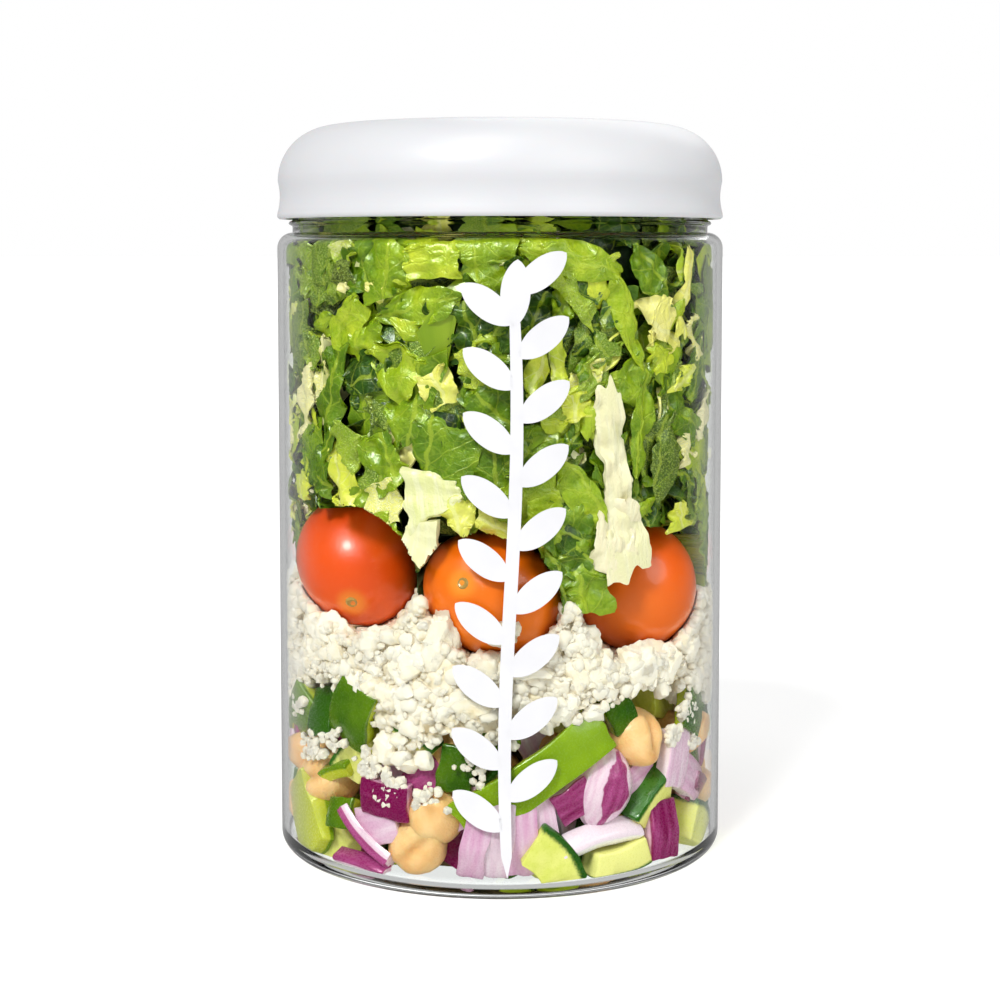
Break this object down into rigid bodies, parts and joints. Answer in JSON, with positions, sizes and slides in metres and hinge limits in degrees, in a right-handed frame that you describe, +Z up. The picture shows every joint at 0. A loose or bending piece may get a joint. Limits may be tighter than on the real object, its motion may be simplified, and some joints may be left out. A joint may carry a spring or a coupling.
{
  "type": "mixed salad in a lidded jar",
  "caption": "Layered salad of chickpeas and chopped vegetables, crumbled white cheese, small tomatoes and lettuce in a clear straight-sided jar with a domed white cap.",
  "frame": {"origin": "middle of the jar's foot, on the surface it stands on", "axes": "+Z up along the jar's axis, -Y towards the front, +X to the right as seen from the front"},
  "size_m": [0.095, 0.095, 0.1548],
  "materials": {
    "clear_plastic": "gloss",
    "cap_plastic": "gloss",
    "print_ink": "satin",
    "lettuce": "satin",
    "lettuce_heart": "satin",
    "tomato": "gloss",
    "white_cheese": "matte",
    "chickpea": "satin",
    "green_pepper": "gloss",
    "red_onion": "satin",
    "cucumber": "satin"
  },
  "bodies": {
    "root": {"jar": "clear_plastic", "cap": "cap_plastic", "base_mix": "chickpea", "cheese": "white_cheese", "lettuce": "lettuce", "tomato_1": "tomato", "tomato_2": "tomato", "tomato_3": "tomato", "tomato_4": "tomato", "tomato_5": "tomato", "tomato_6": "tomato"}
  },
  "joints": []
}
